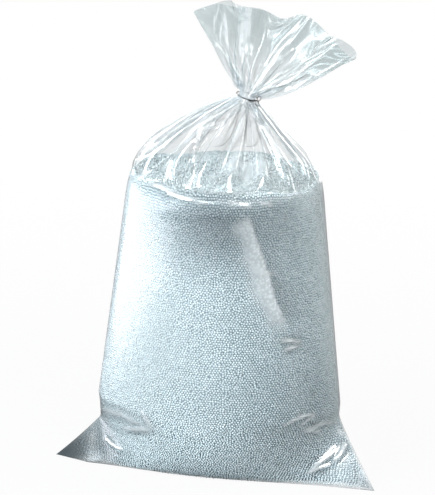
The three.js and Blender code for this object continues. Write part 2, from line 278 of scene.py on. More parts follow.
# Painted reflection on the band and on smooth film
BAND_PAINTED_REFLECTION = 0.75
BAND_SHADE = 0.2
SMOOTH_PAINTED_REFLECTION = 0.6
MORE_HAZE_ON_BEADS = 0.5
MORE_HAZE_BETWEEN = -0.8
BEAD_EDGE = 0.7
NECK_HAZE = 0.3
NECK_HAZE_ROWS = 9
FILM_ROUGHNESS = 0.12
FAN_ROUGHNESS = 0.32
PEBBLE_ROUGHNESS = 0.3
FILM_SHINE = 0.1
SHINE_POWER = 5
PEBBLE_BUMP = 0.14
CRINKLE_SCALE = 70
CRINKLE_DETAIL = 3
CRINKLE_BUMP = 0.3
WIRE_DARK = (0.006, 0.005, 0.005)
WIRE_PALE = (0.025, 0.021, 0.02)
WIRE_GRAIN = 900
WIRE_SHINE = 0.12
WIRE_ROUGHNESS = 0.65

# Light
FILL_COLOUR = (0.94, 0.97, 1.0)
FILL_STRENGTH = 0.14
ROOM_DIM = 0.15
ROOM_BRIGHT = 1.1
ROOM_BACK = 0.5
ROOM_REACH = 0.8
FLOOR_SIZE = 40000
FLOOR_GLOW = 0.94
FLOOR_FADE = 1.4
FLOOR_COLOUR = (0.45, 0.46, 0.47)
BAG_MIDDLE = (0, 0, 0.3)
WHITE = (1, 1, 1)
KEY_COLOUR = (0.86, 0.95, 1.0)
CARD_COLOUR = (0.93, 0.93, 1.0)
# Place and size in metres, power, colour, and whether the film only mirrors it
LAMPS = {
    "key": ((-1.25, -1.45, 1.3), (1.0, 1.0), 57, KEY_COLOUR, False),
    "front": ((0.0, -2.2, 1.7), (1.2, 0.8), 12, KEY_COLOUR, False),
    "right": ((1.2, -1.6, 1.6), (0.8, 1.0), 34, WHITE, False),
    "left_card": ((-1.6, -0.3, 0.03), (3.2, 0.66), 30, CARD_COLOUR, True),
    "front_card": ((-0.5, -2.1, -0.6), (1.6, 0.9), 5, CARD_COLOUR, True),
    "right_strip": ((1.42, -0.6, -0.05), (0.3, 0.9), 0.5, WHITE, True),
    "left_glint": ((-1.7, -0.4, 1.4), (0.8, 0.5), 8, WHITE, True),
    "right_glint": ((1.7, 0.4, 1.4), (0.8, 0.5), 8, WHITE, True),
    "top": ((0.5, 0.3, 2.2), (1.2, 1.0), 2, WHITE, False),
    "back": ((-0.4, 2.1, 0.5), (1.6, 0.9), 40, WHITE, False),
}


def mix(a, b, share):
    return a + (b - a) * share


def smooth(share):
    share = np.clip(share, 0, 1)
    return share * share * (3 - 2 * share)


# Film surface, as functions of the turn round the tube
def body_share(z):
    return np.clip((z - LOW_HEIGHT) / (BEAD_LEVEL - LOW_HEIGHT), 0, 1)


def half_width(z):
    return mix(LOW_HALF_WIDTH, RIM_HALF_WIDTH, body_share(z))


def half_depth(z):
    radius = GIRTH * (1 - RIM_SLACK * body_share(z)) / FULL_TURN
    full = np.sqrt(2 * radius**2 - half_width(z) ** 2)
    low = np.clip(1 - z / LOW_HEIGHT, 0, 1)
    return mix(BASE_HALF_DEPTH, full, np.sqrt(1 - low**2))


def rim_wave(turn):
    """Uneven height of the rim round the tube."""
    return RIM_WAVE * sum(size * np.sin(count * turn + start) for count, start, size in RIM_WAVES)


def rim_dip(z, turn):
    """Hollow in front, a little below the rim."""
    below = BEAD_LEVEL - z
    fade_in = smooth((below - DIP_START) / DIP_FADE_IN)
    fade_out = smooth((below - (DIP_START + DIP_FADE_IN)) / DIP_FADE_OUT)
    in_front = smooth(1 - np.abs(turn - DIP_TURN) / DIP_HALF_TURN)
    return DIP_DEPTH * (fade_in * (1 - fade_out)) * in_front


def body_points(z, turn, inset=0.0, ear_share=1.0):
    """Points of the body's surface at the heights z and turns, moved inwards by the inset."""
    c, s = np.cos(turn), np.sin(turn)
    right = c > 0
    side = np.where(right, 1, -1)
    ear_height = np.where(right, RIGHT_EAR["height"], LEFT_EAR["height"])
    ear_forward = np.where(right, RIGHT_EAR["forward"], LEFT_EAR["forward"])
    ear_lift = np.where(right, RIGHT_EAR["lift"], LEFT_EAR["lift"])
    edge = np.clip((z - BEAD_LEVEL) / RIM_ROUND + 1, 0, 1)
    tuck = RIM_TUCK * (1 - RIM_TUCK_LOST_AT_SIDES * c**2) * (1 - np.sqrt(1 - edge**2))
    tuck = tuck + rim_dip(z, turn)
    width = half_width(z) - inset - tuck
    depth = half_depth(z) - inset - tuck
    low = np.clip(1 - z / ear_height, 0, 1)
    reach = LAY_FLAT_WIDTH / 2 - half_width(z) + side * EAR_SHIFT
    across = width * c + side * ear_share * low * reach * np.abs(c) ** EAR_POWER
    share = np.abs(s) ** (1 + EAR_PINCH * np.clip(1 - z / LOW_HEIGHT, 0, 1))
    y = np.sign(s) * depth * share - (ear_forward - EAR_BACK * inset) * low * (1 - share)
    in_ear = np.clip((np.abs(across) - width) / reach, 0, 1)
    drop = RIM_DROP * body_share(z) * (0.5 + 0.5 * c)
    drop -= edge * (RIM_RAISE * np.clip(-s, 0, 1) ** 2 + rim_wave(turn))
    x = RIM_SHIFT * z / BEAD_LEVEL + across
    return np.stack(np.broadcast_arrays(x, y, z + ear_lift * low * in_ear - drop), -1)


def heap_level(x, y):
    """Height of the heap of beads at a place, and how far out to the rim that place is."""
    u = (x - RIM_SHIFT) / (RIM_HALF_WIDTH - RIM_TUCK)
    v = y / (half_depth(np.float64(BEAD_LEVEL)) - RIM_TUCK)
    out = u**2 + v**2
    edge = BEAD_LEVEL - RIM_DROP * (0.5 + 0.5 * np.clip(u, -1, 1))
    edge = edge + RIM_RAISE * np.clip(-v, 0, 1) ** 2
    edge += rim_wave(np.arctan2(v, u)) * np.clip(out, 0, 1)
    hills = sum(np.sin(x * a + y * b + p) for a, b, p in HEAP_HILLS)
    return edge + (HEAP_RISE + HILL_HEIGHT * hills) * (1 - np.clip(out, 0, 1)), out


def neck_point(turn, radius, above):
    """A point round the leaning neck."""
    x, y = radius * np.cos(turn), radius * np.sin(turn)
    c, s = math.cos(NECK_TILT), math.sin(NECK_TILT)
    out = (NECK_SHIFT + c * x + s * above, y, NECK_HEIGHT - s * x + c * above)
    return np.stack(np.broadcast_arrays(*out), -1)


def closed_spline(points, share):
    """Points on a closed Catmull-Rom curve, at shares of the way round."""
    t = share * len(points)
    i = np.floor(t).astype(int)
    f = (t - i)[:, None]
    p0, p1, p2, p3 = (points[(i + k) % len(points)] for k in (-1, 0, 1, 2))
    cubic = (3 * p1 - p0 - 3 * p2 + p3) * f**3
    return 0.5 * (2 * p1 + (p2 - p0) * f + (2 * p0 - 5 * p1 + 4 * p2 - p3) * f**2 + cubic)


def even_rows(rows, count):
    """The rows resampled so that each column's points are evenly spaced along it."""
    steps = np.linalg.norm(np.diff(rows, axis=0), axis=2)
    along = np.concatenate([np.zeros((1, rows.shape[1])), np.cumsum(steps, 0)])
    out = np.empty((count, rows.shape[1], 3))
    for j in range(rows.shape[1]):
        wanted = np.linspace(0, along[-1, j], count)
        for k in range(3):
            out[:, j, k] = np.interp(wanted, along[:, j], rows[:, j, k])
    return out


# Upper film: laid out along smooth lines, then relaxed as a sheet that can't stretch
def upper_film(turn):
    """Smooth rows from a little below the rim to the mouth, with the pleat wave round the tube."""
    c, s = np.cos(turn), np.sin(turn)
    pleat = np.round(turn * PLEATS / FULL_TURN).astype(int) % PLEATS
    wave = rng.uniform(*PLEAT_STRENGTHS, PLEATS)[pleat] * np.cos(PLEATS * turn)
    lean = turn - sum(size * np.sin(count * turn) for count, size in PLEAT_LEAN) / PLEATS

    below = np.linspace(BEAD_LEVEL - LOOSE_BELOW_RIM, BEAD_LEVEL, LOOSE_ROWS)[:, None]
    body = body_points(below, turn)
    rim = body[-1]
    low_neck = neck_point(lean, NECK_RADIUS + NECK_FOLD * wave, -NECK_HALF_LENGTH)
    top_neck = neck_point(lean, NECK_RADIUS + NECK_FOLD * wave, NECK_HALF_LENGTH)
    t = np.linspace(0, 1, CURVE_POINTS)[:, None, None]
    left = (1 - c) / 2
    belly = mix(low_neck, rim, mix(SHOULDER_SLIM, SHOULDER_FULL, left)[:, None])
    belly[:, 2] = mix(rim[:, 2], low_neck[:, 2], mix(SHOULDER_LIFT_RIGHT, SHOULDER_LIFT_LEFT, left))
    shoulder = (1 - t) ** 2 * rim + 2 * t * (1 - t) * belly + t**2 * low_neck
    neck = mix(low_neck, top_neck, np.linspace(0, 1, NECK_ROWS + 1)[1:, None, None])
    mouth = closed_spline(MOUTH, turn / FULL_TURN) + np.array([NECK_SHIFT, 0, NECK_HEIGHT])
    aside = np.stack([math.cos(NECK_TILT) * c, FAN_FLATTEN * s, -math.sin(NECK_TILT) * c], -1)
    upward = np.array([math.sin(NECK_TILT), 0, math.cos(NECK_TILT)])
    first = top_neck + FAN_FLARE * (aside + upward * (FAN_LIFT * (1 - smooth(c)))[:, None])
    second = mix(top_neck, mouth, FAN_SETTLE)
    fan = (1 - t) ** 3 * top_neck + 3 * t * (1 - t) ** 2 * first
    fan += 3 * t**2 * (1 - t) * second + t**3 * mouth
    shoulder = even_rows(shoulder, SHOULDER_ROWS + 1)[1:]
    return np.concatenate([body, shoulder, neck, even_rows(fan, FAN_ROWS + 1)[1:]]), wave


def pull_pairs(points, free, first, second, rest, stiffness):
    """Moves the points of each pair towards their distance at rest."""
    a, b = points[first], points[second]
    wa, wb = free[first], free[second]
    apart = b - a
    length = np.sqrt(np.einsum("...i,...i->...", apart, apart)) + TINY
    share = stiffness * (length - rest) / (length * np.maximum(wa + wb, 1))
    move = share[..., None] * apart
    points[first] = a + wa[..., None] * move
    points[second] = b - wb[..., None] * move


def neighbour_sets(rows, columns, down, across):
    """Index pairs of a grid's points and their neighbours, in two sets that share no point."""
    r, c = np.arange(rows), np.arange(columns)
    sets = []
    for k in range(2):
        if down == 0:
            first = c[(c % (2 * across)) // across == k]
            sets.append((np.ix_(r, first), np.ix_(r, (first + across) % columns)))
        else:
            first = r[((r % (2 * down)) // down == k) & (r + down < rows)]
            sets.append((np.ix_(first, c), np.ix_(first + down, (c + across) % columns)))
    return sets


def keep_off_beads(points, free):
    """Lifts film points out of the heap of beads."""
    heap, out = heap_level(points[..., 0], points[..., 1])
    heap += 2 * BEAD_RADIUS
    low = (out < 1) & (points[..., 2] < heap) & (free > 0)
    points[..., 2] = np.where(low, heap, points[..., 2])


def relax_film(turn):
    """The upper film with gathers that its own width makes between the rim, the tie and the mouth."""
    smooth_rows, wave = upper_film(turn)
    count = len(smooth_rows)
    row = np.arange(count)
    rim = LOOSE_ROWS - 1
    low = rim + SHOULDER_ROWS
    top = low + NECK_ROWS
    up = np.clip((row - rim) / (low - rim), 0, 1)
    out = np.clip((row - top) / (count - 1 - top), 0, 1)

    # Spare width comes in over the first third of the shoulder, and more of it from the middle up
    spare = SHOULDER_SPARE * smooth(3 * up) + (NECK_SPARE - SHOULDER_SPARE) * smooth(2 * up - 1)
    spare = np.where(row > top, mix(NECK_SPARE, MOUTH_SPARE, smooth(FAN_SPARE_FADE * out)), spare)
    now = np.linalg.norm(np.roll(smooth_rows, -1, 1) - smooth_rows, axis=2)
    round_rest = now * (1 + spare)[:, None]
    along = np.linalg.norm(np.diff(smooth_rows, axis=0), axis=2)
    along = np.concatenate([along, along[-1:]])

    # The film starts in shallow pleats. They come in over two thirds of the shoulder and go over its
    # last quarter. In the fan they come in over the first third and go towards the mouth.
    depth = SHOULDER_PLEAT * smooth(1.5 * up) * (1 - smooth(4 * up - 3))
    depth = np.where(row > top, FAN_PLEAT * smooth(3 * out) * (1 - out), depth)
    points = smooth_rows + outward(smooth_rows) * (depth[:, None] * wave)[..., None]
    points += rng.normal(0, ROUGH_START, points.shape) * (depth > 0)[:, None, None]
    free = np.ones((count, COLUMNS))
    free[: LOOSE_ROWS - 1] = 0
    free[low - 1: top + 2] = 0
    hold = np.zeros((count, COLUMNS, 1))
    hold[-MOUTH_HELD_ROWS:] = MOUTH_PULL / MOUTH_SOFTER
    hold[-1] = MOUTH_PULL

    links = []
    for down, across, stiffness in LINKS:
        for first, second in neighbour_sets(count, COLUMNS, down, across):
            if down and across:
                rest = np.hypot(0.5 * (round_rest[first] + round_rest[second]), along[first])
            else:
                rest = down * along[first] + across * round_rest[first]
            links.append((first, second, rest, stiffness))
    before = points.copy()
    for _ in range(RELAX_STEPS):
        points, before = points + KEEP_MOVING * (points - before) * free[..., None], points
        points += hold * (smooth_rows - points)
        for first, second, rest, stiffness in links:
            pull_pairs(points, free, first, second, rest, stiffness)
        keep_off_beads(points, free)
    return points


# Meshes
def new_object(name, points, faces, material, smooth_faces=True):
    """A mesh object from points in millimetres."""
    mesh = bpy.data.meshes.new(name)
    points = np.asarray(points, float).reshape(-1, 3) * MM
    faces = np.asarray(faces, int)
    mesh.vertices.add(len(points))
    mesh.vertices.foreach_set("co", points.ravel())
    mesh.loops.add(faces.size)
    mesh.loops.foreach_set("vertex_index", faces.ravel())
    mesh.polygons.add(len(faces))
    mesh.polygons.foreach_set("loop_start", np.arange(len(faces)) * faces.shape[1])
    mesh.polygons.foreach_set("use_smooth", np.full(len(faces), smooth_faces))
    mesh.update(calc_edges=True)
    mesh.materials.append(material)
    obj = bpy.data.objects.new(name, mesh)
    bpy.context.scene.collection.objects.link(obj)
    return obj


def tube_faces(rows, columns):
    """Quads between the rows of a closed tube, facing outwards when the rows go up."""
    r = np.arange(rows - 1)[:, None] * columns
    c = np.arange(columns)[None]
    n = (c + 1) % columns
    return np.stack([r + c, r + n, r + columns + n, r + columns + c], -1).reshape(-1, 4)


def outward(rows):
    """Unit normals of a grid of points that closes round the tube."""
    side = np.roll(rows, -1, 1) - np.roll(rows, 1, 1)
    normal = np.cross(side, np.gradient(rows, axis=0))
    return normal / (np.linalg.norm(normal, axis=2)[..., None] + TINY)


def spread(line):
    """A line's points, spread evenly between its knots: share along it, turn and second value."""
    along = np.linspace(0, 1, LINE_POINTS)
    knots = np.linspace(0, 1, len(line))
    turn = np.radians(np.interp(along, knots, [p[0] for p in line]))
    return along, turn, np.interp(along, knots, [p[1] for p in line])


def near_marks(points, marks):
    """Distance from each point to the nearest mark, and which mark that is."""
    gaps = np.linalg.norm(points[..., None, :] - marks, axis=-1)
    return gaps.min(-1), gaps.argmin(-1)


def ridge(rows, marks, along, reach):
    """A crease along the marks: share of its half width to each point, lift, sharpness and shade."""
    gap, nearest = near_marks(rows, marks)
    out = gap / reach
    ends = np.sin(math.pi * np.clip(along[nearest], LINE_END, 1 - LINE_END)) ** 0.5
    lift = ends * np.clip(1 - out, 0, 1) ** RIDGE_POWER
    fold = ends * smooth(1 - FOLD_SHARPNESS * out)
    shade = ends * smooth(1 - SHADE_SHARPNESS * np.abs(out - SHADE_PLACE))
    return out, lift, fold, shade


def crease_body(rows):
    """Lifts creases out of the rows of the body, and says where the film lies on the beads and where
    it carries painted highlight, painted reflection and painted shade.
    """
    lift, painted_shade, shade, fold = np.zeros((4, *rows.shape[:2]))
    pebbled = np.ones(rows.shape[:2])
    haze_and_painted_highlight = np.full(rows.shape[:2], FILM_HAZE)
    # Painted shade: dark patches at the ears, under the rim and low on the right
    for (turn, height), reach, strength in PAINTED_SHADE_FILM:
        middle = body_points(np.float64(height), np.float64(math.radians(turn)))
        painted_shade += strength * smooth(1 - np.linalg.norm(rows - middle, axis=2) / reach)
    for line, height, reach in CREASES:
        along, turn, level = spread(line)
        out, new_lift, new_fold, new_shade = ridge(rows, body_points(level, turn), along, reach)
        lift = np.maximum(lift, height * new_lift)
        pebbled = np.minimum(pebbled, smooth(OFF_BEADS * out - 1))
        fold = np.maximum(fold, new_fold)
        shade = np.maximum(shade, CREASE_SHADE * new_shade)
    # Painted highlight along the crease ridges
    haze_and_painted_highlight = np.maximum(haze_and_painted_highlight, CREASE_PAINTED_HIGHLIGHT * fold)
    # Painted shade beside the creases, kept off their ridges
    painted_shade = np.maximum(painted_shade, shade) * (1 - fold)
    column_turn = np.arange(COLUMNS) * FULL_TURN / COLUMNS
    for line, height, reach in BANDS:
        along, turn, level = spread(line)
        gap, nearest = near_marks(rows, body_points(level, turn))
        ends = smooth(BAND_ENDS * np.minimum(along, 1 - along))[nearest]
        past = column_turn > turn[nearest]
        waves = sum(np.sin(count * along + start) for count, start in BAND_WAVES)
        wobble = 1 + BAND_WOBBLE * waves[nearest]
        share = ends * smooth(1 - gap / (wobble * np.where(past, BAND_EDGE, reach)))
        lift = np.maximum(lift, height * share)
        pebbled = np.minimum(pebbled, 1 - BAND_SMOOTH * smooth(2 * share))
        # Painted reflection on the band
        haze_and_painted_highlight = np.maximum(haze_and_painted_highlight, BAND_PAINTED_REFLECTION * share)
        # Painted shade to the right of the band
        painted_shade = np.maximum(painted_shade, BAND_SHADE * past * (1 - share) * ends * smooth(1 - gap / reach))
    for (turn, height), (round_size, up_size), strength in SMOOTH_FILM:
        middle = body_points(np.float64(height), np.float64(math.radians(turn)))
        flat = np.hypot(rows[..., 0] - middle[0], rows[..., 1] - middle[1]) / round_size
        out = np.hypot(flat, (rows[..., 2] - middle[2]) / up_size)
        share = strength * smooth(SMOOTH_FADE * (1 - out))
        pebbled = np.minimum(pebbled, 1 - share)
        # Painted reflection where the film lies smooth
        haze_and_painted_highlight = np.maximum(haze_and_painted_highlight, SMOOTH_PAINTED_REFLECTION * share)
    marks = {"pebbled": pebbled, "haze_and_painted_highlight": haze_and_painted_highlight, "painted_shade": painted_shade, "fold": fold}
    return rows + outward(rows) * lift[..., None], marks


def fold_shoulder(rows):
    """Lifts sharp folds out of the relaxed upper film, and says where painted highlight and painted
    shade go on it.
    """
    lift, haze_and_painted_highlight, painted_shade, fold = np.zeros((4, *rows.shape[:2]))
    column_turn = np.arange(COLUMNS) * 360 / COLUMNS
    up = (np.arange(len(rows))[:, None] - LOOSE_ROWS + 1) / SHOULDER_ROWS
    # Painted highlight in the shoulder
    for (turn, share), (turn_size, share_size), strength in SHOULDER_PAINTED_HIGHLIGHT:
        out = np.hypot((column_turn - turn) / turn_size, (up - share) / share_size)
        haze_and_painted_highlight = np.maximum(haze_and_painted_highlight, strength * smooth(PAINTED_HIGHLIGHT_FADE * (1 - out)))
    for line, height, reach in SHOULDER_FOLDS:
        along, turn, share = spread(line)
        column = np.round(turn / FULL_TURN * COLUMNS).astype(int) % COLUMNS
        row = np.round(LOOSE_ROWS - 1 + SHOULDER_ROWS * share).astype(int)
        _, new_lift, new_fold, new_shade = ridge(rows, rows[row, column], along, reach)
        lift = np.maximum(lift, height * new_lift)
        fold = np.maximum(fold, new_fold)
        # Painted shade beside the shoulder folds
        painted_shade = np.maximum(painted_shade, FOLD_SHADE * new_shade)
    # Painted highlight along the shoulder folds
    haze_and_painted_highlight = np.maximum(haze_and_painted_highlight, FOLD_PAINTED_HIGHLIGHT * fold)
    return rows + outward(rows) * lift[..., None], {"haze_and_painted_highlight": haze_and_painted_highlight, "painted_shade": painted_shade, "fold": fold}


def film_bag(material):
    """The film as one sheet from the weld to the mouth, with its marks for the material."""
    turn = np.arange(COLUMNS) * FULL_TURN / COLUMNS
    foot = LOW_HEIGHT * (np.linspace(0, 1, FOOT_ROWS) ** FOOT_CROWDING)[:, None]
    low_rows = body_points(foot, turn)
    sole = low_rows[0].copy()
    weld = sole.copy()
    weld[:, 1] = np.interp(sole[:, 0], [sole[:, 0].min(), sole[:, 0].max()],
                           [sole[COLUMNS // 2, 1], sole[0, 1]])
    weld_rows = mix(weld, sole, np.linspace(0, 1, WELD_ROWS + 1)[:-1, None, None])
    weld_rows[:, :, 2] += BEAD_GAP
    body = np.arange(LOW_HEIGHT + BODY_STEP, BEAD_LEVEL - LOOSE_BELOW_RIM - 1, BODY_STEP)[:, None]
    upper, fold_marks = fold_shoulder(relax_film(turn))
    body = np.concatenate([low_rows, body_points(body, turn), upper[:LOOSE_ROWS]])
    body, marks = crease_body(body)
    rows = np.concatenate([weld_rows, body, upper[LOOSE_ROWS:]])
    obj = new_object("film", rows, tube_faces(len(rows), COLUMNS), material)
    marks["loose"] = np.zeros(body.shape[:2])
    past_neck = (np.arange(len(upper) - LOOSE_ROWS) - SHOULDER_ROWS)[:, None]
    dense = smooth(1 - np.abs(past_neck) / NECK_HAZE_ROWS)
    above = {
        "pebbled": 0,
        "haze_and_painted_highlight": np.maximum(mix(FILM_HAZE, NECK_HAZE, dense), fold_marks["haze_and_painted_highlight"][LOOSE_ROWS:]),
        "painted_shade": fold_marks["painted_shade"][LOOSE_ROWS:],
        "fold": fold_marks["fold"][LOOSE_ROWS:],
        "loose": mix(SHOULDER_PAINTED_SHADE, 1, smooth(past_neck / FAN_ROWS)),
    }
    for name in marks:
        tags = np.zeros(rows.shape[:2])
        tags[:WELD_ROWS] = marks[name][0]
        tags[WELD_ROWS: WELD_ROWS + len(body)] = marks[name]
        tags[WELD_ROWS + len(body):] = above[name]
        obj.data.attributes.new(name, "FLOAT", "POINT").data.foreach_set("value", tags.ravel())
    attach(obj, "root")
    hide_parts("film_bag")
    return obj


# Beads
def bead_mesh():
    """A round bead of 16 faces: a point at each end and two rings of four between them."""
    lift = math.sin(BEAD_RING_RISE)
    wide = math.cos(BEAD_RING_RISE)
    corners = [(0, 0, 1), (0, 0, -1)]
    for k in range(4):
        corners.append((wide * math.cos(k * math.pi / 2), wide * math.sin(k * math.pi / 2), lift))
    for k in range(4):
        turn = (k + 0.5) * math.pi / 2
        corners.append((wide * math.cos(turn), wide * math.sin(turn), -lift))
    faces = []
    for k in range(4):
        high, next_high = 2 + k, 2 + (k + 1) % 4
        low, next_low = 6 + k, 6 + (k + 1) % 4
        faces += [(0, high, next_high), (high, low, next_high)]
        faces += [(next_high, low, next_low), (1, next_low, low)]
    return np.array(corners), np.array(faces)


def push_apart(places, girth, reach, steps):
    """Spreads places on a sheet that closes on itself at the girth, to about a reach apart."""
    cell = reach * CELL_SHARE
    across = int(girth / cell)
    places = places.copy()
    for _ in range(steps):
        column = np.floor(places[:, 0] / girth * across).astype(int) % across
        row = np.floor((places[:, 1] - places[:, 1].min()) / cell).astype(int)
        key = row * across + column
        order = np.argsort(key, kind="stable")
        ranked = key[order]
        first = np.searchsorted(ranked, np.arange((row.max() + 2) * across))
        push = np.zeros_like(places)
        for down in (-1, 0, 1):
            for side in (-1, 0, 1):
                near_row = row + down
                near = near_row * across + (column + side) % across
                valid = (near_row >= 0) & (near_row <= row.max())
                start = first[np.where(valid, near, 0)]
                for slot in range(CELL_SLOTS):
                    at = np.minimum(start + slot, len(order) - 1)
                    there = valid & (ranked[at] == near)
                    other = order[at]
                    gap = places - places[other]
                    gap[:, 0] -= girth * np.round(gap[:, 0] / girth)
                    apart = np.hypot(gap[:, 0], gap[:, 1])
                    close = there & (apart < reach) & (apart > SAME_PLACE)
                    share = 0.5 * (reach - apart) / np.maximum(apart, SAME_PLACE)
                    push += np.where(close, share, 0)[:, None] * gap
        places += PUSH_SHARE * push
        places[:, 0] %= girth
    return places


def side_beads():
    """Bead centres just under the film, spread evenly over the unrolled body."""
    inset = BEAD_GAP + BEAD_RADIUS
    levels = np.linspace(BEAD_RADIUS, BEAD_LEVEL - RIM_ROUND, SIDE_LEVELS)
    rounding = RIM_ROUND * (1 - np.sin(np.linspace(0, math.pi / 2, ROUNDED_LEVELS + 1)[1:]))
    levels = np.concatenate([levels, BEAD_LEVEL - rounding])
    fine = np.arange(FINE_TURNS + 1) * FULL_TURN / FINE_TURNS
    rings = body_points(levels[:, None], fine, inset, FILL_EAR)
    climbs = np.linalg.norm(np.diff(rings, axis=0), axis=2).mean(1)
    climb = np.concatenate([[0], np.cumsum(climbs)])
    steps = np.linalg.norm(np.diff(rings, axis=1), axis=2)
    share = np.concatenate([np.zeros((len(levels), 1)), np.cumsum(steps, 1)], 1)
    girth = share[:, -1].mean()
    share /= share[:, -1:]
    even = np.linspace(0, 1, EVEN_TURNS + 1)
    turns = np.stack([np.interp(even, row, fine) for row in share])

    across = int(girth / BEAD_PITCH)
    rows = int(climb[-1] / (ROW_SHARE * BEAD_PITCH))
    k, row = np.meshgrid(np.arange(across), np.arange(rows))
    places = np.stack([(k + 0.5 * (row % 2)) * girth / across, (row + 0.5) * climb[-1] / rows], -1)
    places = places.reshape(-1, 2) + rng.normal(0, BEAD_STRAY, (across * rows, 2))
    places = push_apart(places, girth, BEAD_PITCH, SPREAD_STEPS)
    places[:, 1] = np.clip(places[:, 1], 0, climb[-1])
    height = np.interp(places[:, 1], climb, levels)
    row = np.interp(places[:, 1], climb, np.arange(len(levels)))
    column = places[:, 0] / girth * EVEN_TURNS
    r = np.minimum(row.astype(int), len(levels) - 2)
    c = np.minimum(column.astype(int), EVEN_TURNS - 1)
    fr, fc = row - r, column - c
    low = mix(turns[r, c], turns[r, c + 1], fc)
    high = mix(turns[r + 1, c], turns[r + 1, c + 1], fc)
    return body_points(height, mix(low, high, fr), inset, FILL_EAR)


def top_beads():
    """Bead centres in the heap, each one golden angle on from the last and a little further out."""
    inset = BEAD_GAP + BEAD_RADIUS
    area = math.pi * RIM_HALF_WIDTH * float(half_depth(np.float64(BEAD_LEVEL)))
    count = int(area / (ROW_SHARE * BEAD_PITCH**2))
    k = np.arange(count) + 0.5
    share = np.sqrt(k / count)
    turn = k * math.pi * (3 - math.sqrt(5))
    rim = body_points(np.float64(BEAD_LEVEL), turn % FULL_TURN, inset)
    points = mix(np.array([RIM_SHIFT, 0, BEAD_LEVEL]), rim, share[:, None])
    heap = heap_level(points[:, 0], points[:, 1])[0]
    points[:, 2] = heap + rng.uniform(-HEAP_STRAY, HEAP_STRAY, count)
    return points


def scatter(name, centres, material):
    """One mesh of separate beads at these centres."""
    corners, faces = bead_mesh()
    size = BEAD_RADIUS * rng.uniform(*BEAD_SIZES, (len(centres), 1, 1))
    points = centres[:, None] + rng.normal(0, BEAD_SHAKE, (len(centres), 1, 3)) + size * corners
    all_faces = faces[None] + (np.arange(len(centres)) * len(corners))[:, None, None]
    obj = new_object(name, points, all_faces.reshape(-1, 3), material)
    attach(obj, "root")
    return obj


def bead_fill(material, heap_painted_shade_material, core_material):
    """The beads under the film, in four quarters, the beads of the heap, coloured darker as painted
    shade, and the core.
    """
    sides = side_beads()
    turn = np.arctan2(sides[:, 1], sides[:, 0] - RIM_SHIFT * sides[:, 2] / BEAD_LEVEL)
    quarter = np.floor((turn / FULL_TURN) * 4 + 0.5).astype(int) % 4
    pieces = []
    for k, name in enumerate(("beads_right", "beads_back", "beads_left", "beads_front")):
        pieces.append(scatter(name, sides[quarter == k], material))
    pieces.append(scatter("beads_top", top_beads(), heap_painted_shade_material))
    for piece in pieces:
        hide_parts("bead_fill")
    core(core_material)


def core(material):
    """The beads further in, as one closed body under the outer layer, coloured darker as painted
    shade in the gaps between the outer beads.
    """
    inset = BEAD_GAP + 2 * BEAD_RADIUS
    turn = np.arange(CORE_COLUMNS) * FULL_TURN / CORE_COLUMNS
    foot = np.linspace(inset, LOW_HEIGHT, CORE_ROWS)
    z = np.concatenate([foot, np.linspace(LOW_HEIGHT, BEAD_LEVEL, CORE_ROWS)[1:]])
    rows = body_points(z[:, None], turn, inset, FILL_EAR)
    middle = np.array([RIM_SHIFT, 0, BEAD_LEVEL])
    top = []
    for share in CORE_RINGS:
        ring = mix(middle, rows[-1], share)
        ring[:, 2] = heap_level(ring[:, 0], ring[:, 1])[0] - 2 * BEAD_RADIUS
        top.append(ring)
    sole = rows[0].copy()
    sole[:, :2] *= CORE_HOLE
    rows = np.concatenate([sole[None], rows, np.array(top)])
    obj = new_object("bead_core", rows, tube_faces(len(rows), CORE_COLUMNS), material)
    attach(obj, "root")
    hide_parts("bead_fill")


# Materials
def new_material(name):
    material = bpy.data.materials.new(name)
    material.use_nodes = True
    material.node_tree.nodes.clear()
    return material, material.node_tree.nodes, material.node_tree.links


def attribute(nodes, name):
    """The values that a mesh carries under this name."""
    node = nodes.new("ShaderNodeAttribute")
    node.attribute_name = name
    return node.outputs["Fac"]


def reckon(nodes, links, operation, *values):
    """A Math node on sockets and plain numbers."""
    node = nodes.new("ShaderNodeMath")
    node.operation = operation
    for value, socket in zip(values, node.inputs):
        if isinstance(value, (int, float)):
            socket.default_value = value
        else:
            links.new(value, socket)
    return node.outputs[0]


def mix_shaders(nodes, links, share, first, second):
    """Two shaders, mixed by a share."""
    node = nodes.new("ShaderNodeMixShader")
    links.new(share, node.inputs["Fac"])
    links.new(first, node.inputs[1])
    links.new(second, node.inputs[2])
    return node.outputs[0]


def ramp_between(nodes, links, share, first, second):
    """A colour between two, by a share."""
    node = nodes.new("ShaderNodeValToRGB")
    node.color_ramp.elements[0].color = (*first, 1)
    node.color_ramp.elements[1].color = (*second, 1)
    links.new(share, node.inputs["Fac"])
    return node.outputs["Color"]


def matte(nodes, colour):
    """A matte shader of one colour."""
    node = nodes.new("ShaderNodeBsdfDiffuse")
    node.inputs["Color"].default_value = (*colour, 1)
    return node


def bead_material(name, dark, pale):
    """Beads, each of its own shade between dark and pale."""
    material, nodes, links = new_material(name)
    out = nodes.new("ShaderNodeOutputMaterial")
    shader = nodes.new("ShaderNodeBsdfPrincipled")
    shader.inputs["Roughness"].default_value = BEAD_ROUGHNESS
    island = nodes.new("ShaderNodeNewGeometry")
    shade = ramp_between(nodes, links, island.outputs["Random Per Island"], dark, pale)
    links.new(shade, shader.inputs["Base Color"])
    links.new(shader.outputs["BSDF"], out.inputs["Surface"])
    return material


